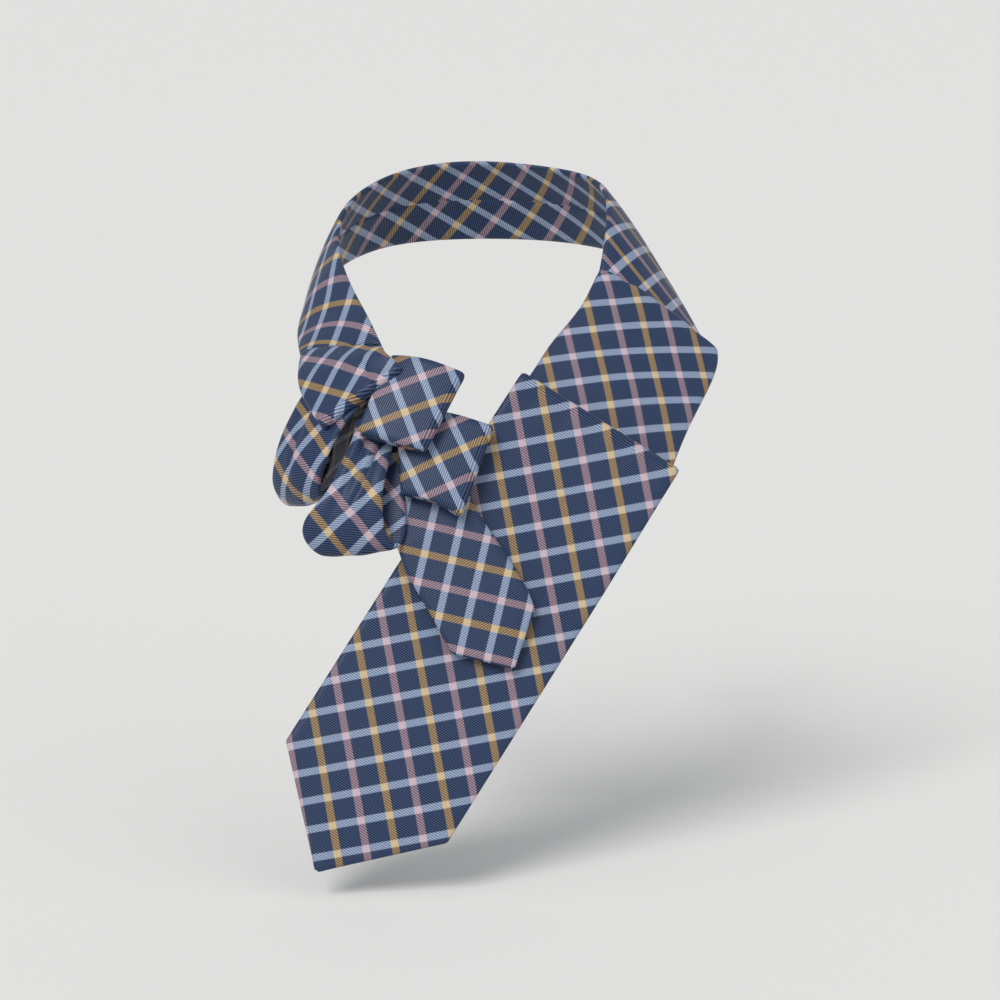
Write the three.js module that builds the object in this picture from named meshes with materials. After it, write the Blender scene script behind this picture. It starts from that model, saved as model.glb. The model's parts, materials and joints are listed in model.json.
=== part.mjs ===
// Asymmetric neck scarf folded from a necktie, in millimetres. +Z is up the neck, -Y is the
// wearer's front and +X is the wearer's left. The origin is on the neck's axis, at collar height.
import * as THREE from "three";

// The neck that the collar goes round, measured to the cloth's inner edge.
const NECK_HALF_WIDTH = 62;
const NECK_HALF_DEPTH = 60;

// The slanted plane on the wearer's front that the hanging pieces lie along.
const FRONT_CLEARANCE = 8; // from the front of the neck to the plane at the origin's height
const FRONT_SLOPE = 0.3; // millimetres forward for each millimetre down

// One pressed section of tie: a flat silk tube with an interlining inside.
const STRIP_HALF = 1.4; // half its thickness
const SILK = 0.45; // one silk wall
const GAP = 0.3; // clearance between pieces that lie on each other
const EDGE_RAMP = 2.2; // distance from a folded edge to full thickness
const EDGE_FULLNESS = 0.85; // share of the full thickness at the end of that ramp
const EDGE_ROOM = 1.2; // from the folded edge to the hollow inside it
const CORE_ROOM = 0.9; // from the hollow's edge to the interlining's edge
const END_ROOM = 2.5; // silk beyond the hollow at a closed end
const CORE_END_ROOM = 2; // from the hollow's end to the interlining's end

// The wide blade: a straight strip with a right-angled point.
const BLADE_WIDTH = 81;
const BLADE_LENGTH = 183; // from the top fold to the two corners of the point
const BLADE_HEAD = 75; // the part of that length held still by the fastener
const BLADE_LEAN = THREE.MathUtils.degToRad(32.2); // the lower end lies towards the wearer's right
const BLADE_TOP_X = 53;
const BLADE_TOP_Z = -47;

// The narrow blade's end, called the tail.
const TAIL_WIDTH = 39;
const TAIL_LENGTH = 48; // from its flex line to the corners of the point
const TAIL_LEAN = THREE.MathUtils.degToRad(-27.5);
const TAIL_TOP_X = -12.9;
const TAIL_TOP_Z = -91;

// The pair of flat magnets that closes the collar under the rosette.
const MAGNET_RADIUS = 5;
const MAGNET_THICKNESS = 1.2;
const MAGNET_X = -5;
const MAGNET_Z = -80;

// Flat doubled petals and their stacking.
const LAYER_STEP = 4; // between the middles of a petal's two layers
const FOLD_REACH = LAYER_STEP / 2 + STRIP_HALF; // how far a fold stands out beyond its turning line
const TAIL_OFFSET = 2 * STRIP_HALF + 2 * MAGNET_THICKNESS + 3 * GAP;
const OVER_TAIL = TAIL_OFFSET + 2 * STRIP_HALF + GAP; // middle of a layer that lies on the tail
const OVER_PETAL = OVER_TAIL + LAYER_STEP + 2 * STRIP_HALF + GAP; // middle of a layer on the lower petal
const OVER_BOTH = OVER_PETAL + LAYER_STEP + 2 * STRIP_HALF + GAP; // middle of a layer on the upper petal

// Flex lines keep this much between the still part and the moving part.
const FLEX_GAP = 0.8;

// The backing, the linings, the keeper and the bar tacks.
const FELT_RADIUS = 15;
const FELT_THICKNESS = 1.5;
const LINING_THICKNESS = 0.5;
const LINING_MARGIN = 5; // the lining stops this far inside the silk's edges
const KEEPER_AT = 48; // along the blade from its top fold
const KEEPER_HALF_SPAN = 24;
const KEEPER_HALF_HEIGHT = 6;
const KEEPER_THICKNESS = 1;
const KEEPER_STAND_OFF = 1;
const TACK_HALF_LENGTH = 4;
const TACK_RADIUS = 0.6;

const SMOOTH_STEPS = 14;
const DISC_SIDES = 24;
const TACK_SIDES = 8;

const FRONT_NORMAL = new THREE.Vector3(0, -1, FRONT_SLOPE).normalize();
const FRONT_UP = new THREE.Vector3(0, FRONT_SLOPE, 1).normalize();
const FRONT_Y = -(NECK_HALF_DEPTH + FRONT_CLEARANCE);

const silk = new THREE.MeshStandardMaterial({ name: "silk", color: 0x3b5480, roughness: 0.55, metalness: 0 });
const lining = new THREE.MeshStandardMaterial({ name: "lining", color: 0x2e3c63, roughness: 0.5, metalness: 0 });
const wadding = new THREE.MeshStandardMaterial({ name: "wadding", color: 0xe7e2d6, roughness: 0.95, metalness: 0 });
const felt = new THREE.MeshStandardMaterial({ name: "felt", color: 0x27304c, roughness: 1, metalness: 0 });
const thread = new THREE.MeshStandardMaterial({ name: "thread", color: 0x43588a, roughness: 0.8, metalness: 0 });
const steel = new THREE.MeshStandardMaterial({ name: "steel", color: 0xb9bdc2, roughness: 0.3, metalness: 1 });

const scarf = new THREE.Group();
scarf.name = "necktie_scarf";

// A point at an angle round the neck, so far out from it, at height z. 0 degrees is +X.
function around(degrees, out, z) {
  const angle = THREE.MathUtils.degToRad(degrees);
  const x = (NECK_HALF_WIDTH + out) * Math.cos(angle);
  const y = (NECK_HALF_DEPTH + out) * Math.sin(angle);
  return new THREE.Vector3(x, y, z);
}

// A point on the front plane, lifted off it towards the front.
function lay(x, z, lift) {
  const point = new THREE.Vector3(x, FRONT_Y + FRONT_SLOPE * z, z);
  return point.addScaledVector(FRONT_NORMAL, lift);
}

// A point on a straight strip that lies on the front plane: so far down from its top line and so far across.
function onStrip(topX, topZ, lean, down, across, lift) {
  const downward = new THREE.Vector3(-Math.sin(lean), 0, 0).addScaledVector(FRONT_UP, -Math.cos(lean));
  const sideways = new THREE.Vector3(Math.cos(lean), 0, 0).addScaledVector(FRONT_UP, -Math.sin(lean));
  return lay(topX, topZ, lift).addScaledVector(downward, down).addScaledVector(sideways, across);
}

function onBlade(down, across, lift) {
  return onStrip(BLADE_TOP_X, BLADE_TOP_Z, BLADE_LEAN, down, across, lift);
}

function onTail(down, across, lift) {
  return onStrip(TAIL_TOP_X, TAIL_TOP_Z, TAIL_LEAN, down, across, TAIL_OFFSET + lift);
}

function add(name, material, geometry) {
  const mesh = new THREE.Mesh(geometry, material);
  mesh.name = name;
  scarf.add(mesh);
}

// Pairs of edge points, run through smooth curves.
function smooth(pairs, steps = SMOOTH_STEPS) {
  const left = new THREE.CatmullRomCurve3(pairs.map((pair) => pair[0]), false, "centripetal");
  const right = new THREE.CatmullRomCurve3(pairs.map((pair) => pair[1]), false, "centripetal");
  const result = [];
  for (let i = 0; i <= steps; i += 1) {
    result.push([left.getPoint(i / steps), right.getPoint(i / steps)]);
  }
  return result;
}

// Moves both edges towards each other by side, and the two ends inwards by start and end.
function inset(pairs, side, start, end) {
  const narrowed = pairs.map(([a, b]) => {
    const step = b.clone().sub(a).normalize().multiplyScalar(side);
    return [a.clone().add(step), b.clone().sub(step)];
  });
  return shorten(shorten(narrowed, start).reverse(), end).reverse();
}

// Cuts a length off the front of a list of pairs, measured on the middle line.
function shorten(pairs, length) {
  let left = length;
  let index = 0;
  const middle = (pair) => pair[0].clone().lerp(pair[1], 0.5);
  while (index < pairs.length - 2 && middle(pairs[index]).distanceTo(middle(pairs[index + 1])) <= left) {
    left -= middle(pairs[index]).distanceTo(middle(pairs[index + 1]));
    index += 1;
  }
  const share = left / middle(pairs[index]).distanceTo(middle(pairs[index + 1]));
  const first = [0, 1].map((side) => pairs[index][side].clone().lerp(pairs[index + 1][side], share));
  return [first, ...pairs.slice(index + 1)];
}

// Eight points round a flat section with soft edges, at each pair.
function rings(pairs, half) {
  return pairs.map(([a, b], i) => {
    const before = pairs[Math.max(i - 1, 0)];
    const after = pairs[Math.min(i + 1, pairs.length - 1)];
    const along = after[0].clone().add(after[1]).sub(before[0]).sub(before[1]);
    const across = b.clone().sub(a);
    const width = across.length();
    const normal = across.clone().cross(along).normalize();
    const ramp = Math.min(EDGE_RAMP / width, 0.25);
    const fullness = half * EDGE_FULLNESS;
    const outline = [[0, 0], [ramp, fullness], [0.5, half], [1 - ramp, fullness]];
    outline.push([1, 0], [1 - ramp, -fullness], [0.5, -half], [ramp, -fullness]);
    return outline.map(([u, height]) => a.clone().addScaledVector(across, u).addScaledVector(normal, height));
  });
}

// Triangles of a tube's side walls, then a cap at its end, then what is asked for at its start.
function solid(outer, inner = null) {
  const points = [];
  const faces = [];
  const place = (ring) => ring.map((point) => points.push(point) - 1);
  const walls = (indexed, turned) => {
    for (let i = 0; i + 1 < indexed.length; i += 1) {
      for (let j = 0; j < indexed[i].length; j += 1) {
        const k = (j + 1) % indexed[i].length;
        const quad = [indexed[i][j], indexed[i][k], indexed[i + 1][k], indexed[i + 1][j]];
        faces.push(turned ? [quad[0], quad[2], quad[1]] : [quad[0], quad[1], quad[2]]);
        faces.push(turned ? [quad[0], quad[3], quad[2]] : [quad[0], quad[2], quad[3]]);
      }
    }
  };
  const cap = (ring, turned) => {
    for (let j = 1; j + 1 < ring.length; j += 1) {
      faces.push(turned ? [ring[0], ring[j + 1], ring[j]] : [ring[0], ring[j], ring[j + 1]]);
    }
  };
  const outside = outer.map(place);
  walls(outside, false);
  cap(outside[outside.length - 1], false);
  if (inner) {
    const inside = inner.map(place);
    walls(inside, true);
    cap(inside[inside.length - 1], true);
    walls([inside[0], outside[0]], false);
  } else {
    cap(outside[0], true);
  }
  const geometry = new THREE.BufferGeometry();
  geometry.setAttribute("position", new THREE.Float32BufferAttribute(points.flatMap((p) => p.toArray()), 3));
  geometry.setIndex(faces.flat());
  return facingOut(geometry);
}

// Turns every face round when the enclosed volume comes out negative.
function facingOut(geometry) {
  const position = geometry.getAttribute("position");
  const index = geometry.getIndex();
  const corner = [new THREE.Vector3(), new THREE.Vector3(), new THREE.Vector3()];
  let volume = 0;
  for (let i = 0; i < index.count; i += 3) {
    corner.forEach((point, k) => point.fromBufferAttribute(position, index.getX(i + k)));
    volume += corner[0].dot(corner[1].clone().cross(corner[2]));
  }
  if (volume < 0) {
    for (let i = 0; i < index.count; i += 3) {
      const second = index.getX(i + 1);
      index.setX(i + 1, index.getX(i + 2));
      index.setX(i + 2, second);
    }
  }
  geometry.computeVertexNormals();
  return geometry;
}

// A hollow silk section, open where the next section joins it, and the interlining inside.
function section(name, pairs) {
  const hollow = inset(pairs, EDGE_ROOM, 0, END_ROOM);
  const core = inset(hollow, CORE_ROOM, CORE_END_ROOM, CORE_END_ROOM);
  add(name, silk, solid(rings(pairs, STRIP_HALF), rings(hollow, STRIP_HALF - SILK)));
  add(`${name}_interlining`, wadding, solid(rings(core, STRIP_HALF - SILK - GAP)));
}

// The outline of a pointed strip. Every row is the distance down and half the width there.
function pointed(at, width, start, corner) {
  const tip = corner + width / 2;
  const blunt = 1.5; // half width left at the very point
  const rows = [[start, width / 2]];
  const count = Math.max(2, Math.round((corner - start) / 20));
  for (let i = 1; i <= count; i += 1) {
    rows.push([start + ((corner - start) * i) / count, width / 2]);
  }
  rows.push([tip - width / 4, width / 4], [tip - blunt, blunt]);
  return rows.map(([down, half]) => [at(down, -half, 0), at(down, half, 0)]);
}

// A pointed silk end, its interlining, its lining and its bar tack.
function pointedEnd(name, at, width, start, corner) {
  const hollow = pointed(at, width - 2 * EDGE_ROOM, start, corner - EDGE_ROOM);
  const coreStart = start + CORE_END_ROOM;
  const core = pointed(at, width - 2 * EDGE_ROOM - 2 * CORE_ROOM, coreStart, corner - EDGE_ROOM - CORE_ROOM);
  const outside = rings(pointed(at, width, start, corner), STRIP_HALF);
  add(name, silk, solid(outside, rings(hollow, STRIP_HALF - SILK)));
  add(`${name}_interlining`, wadding, solid(rings(core, STRIP_HALF - SILK - GAP)));

  const behind = -(STRIP_HALF + GAP + LINING_THICKNESS / 2);
  const liningAt = (down, across) => at(down, across, behind);
  const liningWidth = width - 2 * LINING_MARGIN;
  const liningTop = corner - width / 4;
  const liningPairs = pointed(liningAt, liningWidth, liningTop, corner - LINING_MARGIN);
  add(`${name}_lining`, lining, solid(rings(liningPairs, LINING_THICKNESS / 2)));

  const tackAt = at(liningTop - 2 * TACK_HALF_LENGTH, 0, -(STRIP_HALF + GAP + TACK_RADIUS));
  const tackAxis = at(0, 1, 0).sub(at(0, 0, 0)).normalize();
  const tack = new THREE.CapsuleGeometry(TACK_RADIUS, 2 * TACK_HALF_LENGTH, 3, TACK_SIDES);
  tack.applyQuaternion(new THREE.Quaternion().setFromUnitVectors(new THREE.Vector3(0, 1, 0), tackAxis));
  tack.translate(tackAt.x, tackAt.y, tackAt.z);
  add(`${name}_bar_tack`, thread, tack);
}

// A flat doubled petal. Rows run from its sewn side to its fold, each with the lift of its back layer.
function petal(name, rows) {
  const last = rows[rows.length - 1];
  const before = rows[rows.length - 2];
  const outward = last.top.clone().sub(before.top).add(last.bottom.clone().sub(before.bottom)).normalize();
  const raised = (point, lift) => point.clone().addScaledVector(FRONT_NORMAL, lift);
  const front = rows.map((row) => [raised(row.top, LAYER_STEP), raised(row.bottom, LAYER_STEP)]);
  const back = rows.map((row) => [row.top.clone(), row.bottom.clone()]).reverse();
  const turn = [];
  for (const degrees of [45, 0, -45]) {
    const angle = THREE.MathUtils.degToRad(degrees);
    const out = (Math.cos(angle) * LAYER_STEP) / 2;
    const lift = ((1 + Math.sin(angle)) * LAYER_STEP) / 2;
    turn.push([last.top, last.bottom].map((point) => raised(point, lift).addScaledVector(outward, out)));
  }
  section(name, [...front, ...turn, ...back]);
}

// The band round the back of the neck, from the wearer's left shoulder to the right side of the neck.
section("nape_band", smooth([
  [around(-20, 1, 17), around(-12, 43, -15)],
  [around(-2, 0, 38), around(2.5, 28, 6)],
  [around(25, 3, 50), around(26, 25, 14)],
  [around(57, 5, 56), around(57, 25, 19)],
  [around(90, 5, 58), around(90, 24, 20)],
  [around(122, 5, 54), around(122, 22, 17)],
  [around(153, 3, 42), around(153, 17, 5)],
  [around(177, 1, 26), around(186, 17, -9)],
], 20));

// The fold over the wearer's left shoulder. Its lower end is tucked behind the blade's top.
section("shoulder_fold", smooth([
  [around(-25, 1, 14), around(-17, 53, -21)],
  [around(-38, 1, 2), around(-19, 54, -25)],
  [around(-53, 1, -11), around(-24, 54, -33)],
  [around(-65, 5, -23), around(-35, 54, -50)],
  [onBlade(6, -BLADE_WIDTH / 2 + 3, -5), onBlade(4, BLADE_WIDTH / 2 - 2, -8)],
]));

// The wide blade: its head is held still, and its lower part flexes.
const headPairs = [];
const headSteps = 3;
for (let i = 0; i <= headSteps; i += 1) {
  const down = ((BLADE_HEAD - FLEX_GAP / 2) * (headSteps - i)) / headSteps;
  headPairs.push([onBlade(down, -BLADE_WIDTH / 2, 0), onBlade(down, BLADE_WIDTH / 2, 0)]);
}
section("blade_head", headPairs);
pointedEnd("wide_blade", onBlade, BLADE_WIDTH, BLADE_HEAD + FLEX_GAP / 2, BLADE_LENGTH);

const keeperBack = -(STRIP_HALF + GAP + KEEPER_STAND_OFF + KEEPER_THICKNESS / 2);
const keeperNear = -(STRIP_HALF + GAP + KEEPER_THICKNESS / 2);
const keeperPairs = [];
for (const [share, lift] of [[-1, keeperNear], [-0.85, keeperBack], [0.85, keeperBack], [1, keeperNear]]) {
  const across = share * KEEPER_HALF_SPAN;
  const low = onBlade(KEEPER_AT + KEEPER_HALF_HEIGHT, across, lift);
  const high = onBlade(KEEPER_AT - KEEPER_HALF_HEIGHT, across, lift);
  keeperPairs.push([low, high]);
}
add("keeper_loop", silk, solid(rings(keeperPairs, KEEPER_THICKNESS / 2)));

// The fold down the right side of the neck.
section("left_fold", smooth([
  [around(178.5, 1, 25), around(187, 17, -9.8)],
  [around(197.5, 0.5, 17), around(194.5, 20, -13.5)],
  [around(213, 2, 7), around(201, 22.5, -17)],
  [around(228, 8, -2), around(207.5, 25.5, -20)],
  [around(239, 17, -12), around(211, 27.5, -20.5)],
].reverse()));

// The wrap over the end of that fold. It runs down to a slanting fold over the upper petal's corner.
section("left_wrap", smooth([
  [around(243.5, 25, -13), around(214.5, 31, -20)],
  [lay(-37, -17, OVER_BOTH - 12), lay(-74.8, -28, -9)],
  [lay(-34.5, -20.5, OVER_BOTH - 7.9), lay(-70, -38.5, 0)],
  [lay(-32.3, -24.4, OVER_BOTH - 6.4), lay(-65.3, -46.5, 7)],
], 8));

petal("petal_upper", [
  { top: lay(-34.5, -17.5, OVER_PETAL - 13.3), bottom: lay(-48.5, -50, OVER_PETAL - 3.3) },
  { top: lay(-19.5, -20, OVER_PETAL - 5.3), bottom: lay(-34, -55, OVER_PETAL - 0.8) },
  { top: lay(-2.5 - FOLD_REACH, -25.5, OVER_PETAL - 4.8), bottom: lay(-19.5 - FOLD_REACH, -58.8, OVER_PETAL + 0.2) },
]);

petal("petal_lower", [
  { top: lay(-29.5, -39, OVER_TAIL - 5.7), bottom: lay(-28.5, -74, OVER_TAIL - 0.7) },
  { top: lay(-10, -41.5, OVER_TAIL - 3.2), bottom: lay(-15, -78, OVER_TAIL + 1.3) },
  { top: lay(9 - FOLD_REACH, -46.5, OVER_TAIL - 2.7), bottom: lay(-3.5 - FOLD_REACH, -82, OVER_TAIL + 1.3) },
]);

// The two puffed loops, each running down its front, round its lower fold and up its back.
section("loop_bottom", smooth([
  [lay(-50.4, -51.5, OVER_TAIL - 2.7), lay(-34.1, -56.5, OVER_TAIL - 2.7)],
  [lay(-55.6, -63.4, OVER_TAIL + 3.3), lay(-35.6, -64.7, OVER_TAIL + 4.3)],
  [lay(-62.2, -76, OVER_TAIL + 4.8), lay(-37.5, -76, OVER_TAIL + 6.3)],
  [lay(-70.5, -88, OVER_TAIL + 3.8), lay(-36.5, -88, OVER_TAIL + 6.9)],
  [lay(-69, -93.5, OVER_TAIL + 3.4), lay(-36, -92.3, OVER_TAIL + 6.4)],
  [lay(-66.3, -97.3, OVER_TAIL + 0.9), lay(-34, -95.7, OVER_TAIL + 3.4)],
  [lay(-62.8, -94.8, OVER_TAIL - 1.7), lay(-31.3, -92.8, OVER_TAIL + 0.6)],
  [lay(-60, -90, OVER_TAIL - 2.3), lay(-29.5, -88, OVER_TAIL - 0.1)],
  [lay(-56, -78, OVER_TAIL - 1.7), lay(-30.5, -78, OVER_TAIL + 0.2)],
  [lay(-50, -66, OVER_TAIL - 3.2), lay(-31.8, -67, OVER_TAIL - 1.4)],
  [lay(-46, -58, OVER_TAIL - 6.2), lay(-33, -60, OVER_TAIL - 5.7)],
], 26));

section("loop_left", smooth([
  [lay(-66, -29, -8), lay(-40, -32, 4.2)],
  [lay(-75, -33, -14.5), lay(-50, -42, 8)],
  [lay(-82, -47, -18), lay(-57.5, -52, 8.5)],
  [lay(-86, -62, -20.5), lay(-62.5, -62, 6.5)],
  [lay(-84.5, -72, -23), lay(-64, -70, 2.5)],
  [lay(-80, -79.5, -26.5), lay(-62.5, -77, -1.5)],
  [lay(-76, -70, -29), lay(-58.5, -70, -4)],
  [lay(-72, -58, -28.5), lay(-54.5, -62, -3)],
  [lay(-70, -46, -25), lay(-53, -50, -2)],
  [lay(-66, -38, -19), lay(-48, -40, -3)],
], 26));

// The tail: its root stays under the lower petal, and its pointed end lifts.
const tailHalf = TAIL_WIDTH / 2;
section("tail_root", [
  [onTail(-FLEX_GAP / 2, -tailHalf, 0), onTail(-FLEX_GAP / 2, tailHalf, 0)],
  [onTail(-7, -tailHalf + 1.5, 0), onTail(-7, tailHalf - 0.5, 0)],
  [onTail(-12.5, -tailHalf + 3, -0.5), onTail(-12.5, tailHalf - 1, 0)],
  [onTail(-21, -tailHalf + 5, -2.5), onTail(-21, tailHalf - 1.5, -1.5)],
  [onTail(-30, -tailHalf + 7, -4.4), onTail(-30, tailHalf - 2, -3.2)],
].reverse());
pointedEnd("tail", onTail, TAIL_WIDTH, FLEX_GAP / 2, TAIL_LENGTH);

// A disc that lies on the front plane.
function disc(name, material, radius, thickness, centre) {
  const geometry = new THREE.CylinderGeometry(radius, radius, thickness, DISC_SIDES);
  geometry.applyQuaternion(new THREE.Quaternion().setFromUnitVectors(new THREE.Vector3(0, 1, 0), FRONT_NORMAL));
  geometry.translate(centre.x, centre.y, centre.z);
  add(name, material, geometry);
}

const bladeMagnetLift = STRIP_HALF + GAP + MAGNET_THICKNESS / 2;
const rosetteMagnetLift = bladeMagnetLift + MAGNET_THICKNESS + GAP;
disc("magnet_blade", steel, MAGNET_RADIUS, MAGNET_THICKNESS, lay(MAGNET_X, MAGNET_Z, bladeMagnetLift));
disc("magnet_rosette", steel, MAGNET_RADIUS, MAGNET_THICKNESS, lay(MAGNET_X, MAGNET_Z, rosetteMagnetLift));
const feltLift = -(STRIP_HALF + GAP + FELT_THICKNESS / 2);
disc("rosette_backing", felt, FELT_RADIUS, FELT_THICKNESS, lay(-33, -66, feltLift));

export default scarf;
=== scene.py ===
import json

import bpy
import numpy as np
from bpy.props import FloatProperty, FloatVectorProperty, IntProperty, PointerProperty
from bpy.types import Operator, Panel, PropertyGroup
from mathutils import Matrix, Vector


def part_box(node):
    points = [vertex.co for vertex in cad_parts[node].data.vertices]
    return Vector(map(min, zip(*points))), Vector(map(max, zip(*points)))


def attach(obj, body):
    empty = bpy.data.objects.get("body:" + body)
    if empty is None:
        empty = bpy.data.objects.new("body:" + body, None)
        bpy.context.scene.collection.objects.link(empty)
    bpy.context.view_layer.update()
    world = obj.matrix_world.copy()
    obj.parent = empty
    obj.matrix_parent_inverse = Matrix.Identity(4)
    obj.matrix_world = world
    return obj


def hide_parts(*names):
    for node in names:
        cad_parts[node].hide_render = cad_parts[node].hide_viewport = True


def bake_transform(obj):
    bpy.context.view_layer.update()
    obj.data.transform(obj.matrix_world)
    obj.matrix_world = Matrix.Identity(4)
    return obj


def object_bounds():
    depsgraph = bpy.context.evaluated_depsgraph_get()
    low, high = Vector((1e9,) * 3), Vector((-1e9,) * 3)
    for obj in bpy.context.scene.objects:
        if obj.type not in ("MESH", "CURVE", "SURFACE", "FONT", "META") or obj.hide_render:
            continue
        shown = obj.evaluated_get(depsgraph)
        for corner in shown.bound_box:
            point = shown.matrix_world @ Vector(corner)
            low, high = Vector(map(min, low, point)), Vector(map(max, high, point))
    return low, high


bl_info = {
    "name": "Necktie scarf",
    "version": (1, 0, 0),
    "blender": (4, 5, 0),
    "location": "View3D > Sidebar > Scarf",
    "description": "Builds the cloth of a necktie folded into a collar with a rosette",
    "category": "Object",
}

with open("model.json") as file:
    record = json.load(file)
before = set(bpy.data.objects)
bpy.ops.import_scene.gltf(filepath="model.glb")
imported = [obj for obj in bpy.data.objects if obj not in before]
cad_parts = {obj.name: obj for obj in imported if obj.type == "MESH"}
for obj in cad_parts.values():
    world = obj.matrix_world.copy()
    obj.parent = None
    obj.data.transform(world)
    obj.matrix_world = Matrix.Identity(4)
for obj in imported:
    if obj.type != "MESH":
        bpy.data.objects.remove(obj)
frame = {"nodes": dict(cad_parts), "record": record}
CAD_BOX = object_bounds()
MM = 0.001


# ---------------------------------------------------------------- places taken from the frame


def joint(name):
    """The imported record's joint of that name."""
    return next(j for j in frame["record"]["behaviour"]["joints"] if j["name"] == name)


def unit(vector):
    """The vector divided by its length, for one vector or rows of them."""
    vector = np.asarray(vector, float)
    return vector / np.maximum(np.linalg.norm(vector, axis=-1, keepdims=True), 1e-12)


def node_points(name):
    """Every vertex of a CAD node, in metres."""
    mesh = frame["nodes"][name].data
    points = np.empty(3 * len(mesh.vertices))
    mesh.vertices.foreach_get("co", points)
    return points.reshape(-1, 3)


def extent(name, axis, origin):
    """The least and greatest distance of a node's points from the origin, along the axis."""
    reach = (node_points(name) - origin) @ axis
    return reach.min(), reach.max()


# The hinges of the blade and of the tail both lie along the front plane, across their strips.
BLADE_HINGE = np.array(joint("blade_flex")["pos_m"])
BLADE_ACROSS = unit(joint("blade_flex")["axis"])
TAIL_HINGE = np.array(joint("tail_lift")["pos_m"])
TAIL_ACROSS = -unit(joint("tail_lift")["axis"])
FRONT_NORMAL = unit(np.cross(TAIL_ACROSS, BLADE_ACROSS))
FRONT_NORMAL = FRONT_NORMAL * -np.sign(FRONT_NORMAL[1])
BLADE_DOWN = unit(np.cross(FRONT_NORMAL, BLADE_ACROSS))
BLADE_DOWN = BLADE_DOWN * -np.sign(BLADE_DOWN[2])
TAIL_DOWN = unit(np.cross(FRONT_NORMAL, TAIL_ACROSS))
TAIL_DOWN = TAIL_DOWN * -np.sign(TAIL_DOWN[2])
BACK, FACE = extent("wide_blade", FRONT_NORMAL, BLADE_HINGE)
HALF = (FACE - BACK) / 2
BLADE_ORIGIN = BLADE_HINGE + FRONT_NORMAL * (BACK + FACE) / 2
# The nape band reaches this far beyond the neck's ellipse, at the back and at the rosette's side.
BAND_BEHIND = 23.9 * MM
BAND_BESIDE = 18.5 * MM
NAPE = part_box("nape_band")
NECK_HALF_DEPTH = NAPE[1][1] - BAND_BEHIND
NECK_HALF_WIDTH = -NAPE[0][0] - BAND_BESIDE


def around(degrees, out, z):
    """A point round the neck's ellipse: an angle from +X, and so far out and so high in
    millimetres."""
    angle = np.radians(degrees)
    x = (NECK_HALF_WIDTH + out * MM) * np.cos(angle)
    y = (NECK_HALF_DEPTH + out * MM) * np.sin(angle)
    return np.array([x, y, z * MM])


def front(x, z, lift):
    """A point on the front plane over x and z, then lifted towards the front, in millimetres."""
    x, z, lift = x * MM, z * MM, lift * MM
    away = FRONT_NORMAL[0] * (x - BLADE_ORIGIN[0]) + FRONT_NORMAL[2] * (z - BLADE_ORIGIN[2])
    y = BLADE_ORIGIN[1] - away / FRONT_NORMAL[1]
    return np.array([x, y, z]) + FRONT_NORMAL * lift


def on_blade(down, across, lift):
    """A point in the blade's own directions from the middle of its flex line, in metres."""
    return BLADE_ORIGIN + BLADE_DOWN * down + BLADE_ACROSS * across + FRONT_NORMAL * lift


def on_tail(down, across, lift):
    """A point in the tail's own directions from the middle of its flex line, in metres."""
    return TAIL_HINGE + TAIL_DOWN * down + TAIL_ACROSS * across + FRONT_NORMAL * (lift - HALF)


# ---------------------------------------------------------------- settings


def shade(red, green, blue):
    """A colour on a display's 0 to 255 scale as linear light."""
    value = np.array([red, green, blue]) / 255
    linear = np.where(value <= 0.04045, value / 12.92, ((value + 0.055) / 1.055) ** 2.4)
    return tuple(float(v) for v in linear)


def colour(label, tone, words):
    """A colour property with its default."""
    default = shade(*tone)
    return FloatVectorProperty(name=label, description=words, subtype="COLOR", default=default)


def length(label, size, words):
    """A length property in metres with its default."""
    kind = {"unit": "LENGTH", "subtype": "DISTANCE"}
    return FloatProperty(name=label, description=words, default=size, **kind)


class ScarfCloth(PropertyGroup):
    """The weave and the colours of the silk."""

    cell: length("Check", 0.0121, "From one stripe to the next")
    stripe: length("Stripe", 0.0031, "Width of one stripe")
    rib: length("Twill rib", 0.0009, "From one twill rib to the next")
    ground_dark: colour("Ground between ribs", (6, 12, 29), "Navy between the ribs")
    ground_bright: colour("Ground ribs", (55, 76, 114), "Denim blue of the ribs")
    light_dark: colour("Light stripe between ribs", (82, 98, 126), "Light stripe, lower tone")
    light_bright: colour("Light stripe ribs", (160, 174, 198), "Light stripe, upper tone")
    gold_dark: colour("Gold between ribs", (70, 60, 56), "Gold stripe where navy shows through")
    gold_bright: colour("Gold ribs", (172, 142, 100), "Gold stripe's own thread")
    pink_dark: colour("Pink between ribs", (70, 60, 76), "Pink stripe where navy shows through")
    pink_bright: colour("Pink ribs", (166, 140, 152), "Pink stripe's own thread")
    gold_cross: colour("Gold crossing", (198, 176, 140), "Where gold crosses the light stripe")
    pink_cross: colour("Pink crossing", (192, 172, 180), "Where pink crosses the light stripe")


class ScarfShape(PropertyGroup):
    """The soft sizes of the folded cloth."""

    edge_round: length("Edge rounding", 0.0026, "How far a folded edge's soft rounding reaches")
    tuck_radius: length("Tuck radius", 0.0023, "Radius of a pressed fold, to the cloth's middle")
    step: length("Grid step", 0.0012, "Spacing of the cloth's rows")
    columns: IntProperty(name="Columns", description="Points across a face", default=48, min=12)


# Every colour of the silk, in the order of the weave group's colour sockets.
TONES = [name for name in ScarfCloth.__annotations__ if name not in ("cell", "stripe", "rib")]


# ---------------------------------------------------------------- curves and strips


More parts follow.
